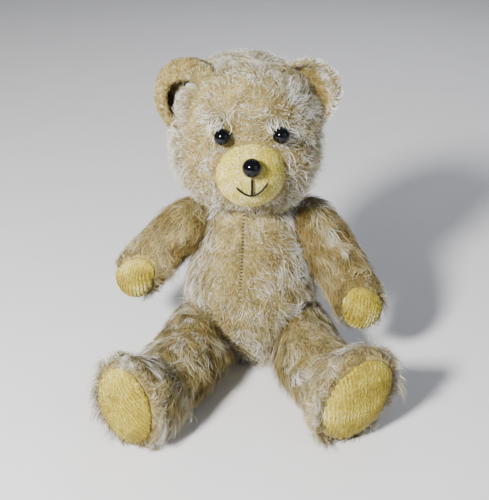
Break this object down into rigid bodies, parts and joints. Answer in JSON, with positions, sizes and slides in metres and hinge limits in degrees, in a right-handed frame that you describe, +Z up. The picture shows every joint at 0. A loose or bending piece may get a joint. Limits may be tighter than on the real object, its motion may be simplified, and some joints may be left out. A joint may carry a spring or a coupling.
{
  "type": "threadbare teddy bear",
  "caption": "Seated stuffed mohair bear, worn nearly bald in places, whose head, arms and legs turn on disc joints inside the sewn covers.",
  "frame": {"origin": "on the floor under the middle of the body, on its flat seat", "axes": "+Z up; the bear faces -Y; +X is the bear's own left"},
  "size_m": [0.2199, 0.182, 0.2665],
  "materials": {
    "mohair": "worn, pale long pile on a golden backing",
    "plush": "short worn pile",
    "wood_wool": "loose fine shavings",
    "hardboard": "pressed, unpainted",
    "washer_steel": "zinc plated",
    "eye_button": "polished black",
    "black_thread": "waxed thread",
    "brown_thread": "cotton thread"
  },
  "bodies": {
    "body": {"body_cover": "mohair", "body_stuffing": "wood_wool", "front_seam": "brown_thread", "neck_inner_disc": "hardboard", "neck_inner_washer": "washer_steel", "neck_pin": "washer_steel", "right_shoulder_inner_disc": "hardboard", "right_shoulder_inner_washer": "washer_steel", "right_shoulder_pin": "washer_steel", "left_shoulder_inner_disc": "hardboard", "left_shoulder_inner_washer": "washer_steel", "left_shoulder_pin": "washer_steel", "right_hip_inner_disc": "hardboard", "right_hip_inner_washer": "washer_steel", "right_hip_pin": "washer_steel", "left_hip_inner_disc": "hardboard", "left_hip_inner_washer": "washer_steel", "left_hip_pin": "washer_steel"},
    "head": {"head_cover": "mohair", "head_stuffing": "wood_wool", "muzzle": "plush", "ear_right": "mohair", "ear_left": "mohair", "eye_right": "eye_button", "eye_left": "eye_button", "nose": "eye_button", "mouth_stitches": "black_thread", "neck_outer_disc": "hardboard", "neck_outer_washer": "washer_steel"},
    "arm_right": {"arm_right_cover": "mohair", "arm_right_stuffing": "wood_wool", "paw_pad_right": "plush", "right_shoulder_outer_disc": "hardboard", "right_shoulder_outer_washer": "washer_steel"},
    "leg_right": {"leg_right_cover": "mohair", "leg_right_stuffing": "wood_wool", "sole_pad_right": "plush", "right_hip_outer_disc": "hardboard", "right_hip_outer_washer": "washer_steel"},
    "arm_left": {"arm_left_cover": "mohair", "arm_left_stuffing": "wood_wool", "paw_pad_left": "plush", "left_shoulder_outer_disc": "hardboard", "left_shoulder_outer_washer": "washer_steel"},
    "leg_left": {"leg_left_cover": "mohair", "leg_left_stuffing": "wood_wool", "sole_pad_left": "plush", "left_hip_outer_disc": "hardboard", "left_hip_outer_washer": "washer_steel"}
  },
  "joints": [
    {"name": "neck", "type": "hinge", "parent": "body", "child": "head", "pos_m": [0, 0, 0.15], "axis": [0, 0, 1], "continuous": true},
    {"name": "right_shoulder", "type": "hinge", "parent": "body", "child": "arm_right", "pos_m": [-0.0355, 0.001, 0.121], "axis": [-0.9511, 0, 0.309], "range_deg": [-100, 110]},
    {"name": "left_shoulder", "type": "hinge", "parent": "body", "child": "arm_left", "pos_m": [0.0355, 0.001, 0.121], "axis": [0.9511, 0, 0.309], "range_deg": [-80, 130]},
    {"name": "right_hip", "type": "hinge", "parent": "body", "child": "leg_right", "pos_m": [-0.024, -0.01, 0.0352], "axis": [0.9061, 0, 0.423], "range_deg": [-10, 75]},
    {"name": "left_hip", "type": "hinge", "parent": "body", "child": "leg_left", "pos_m": [0.024, -0.01, 0.0352], "axis": [0.9061, 0, -0.423], "range_deg": [-2, 75]}
  ]
}
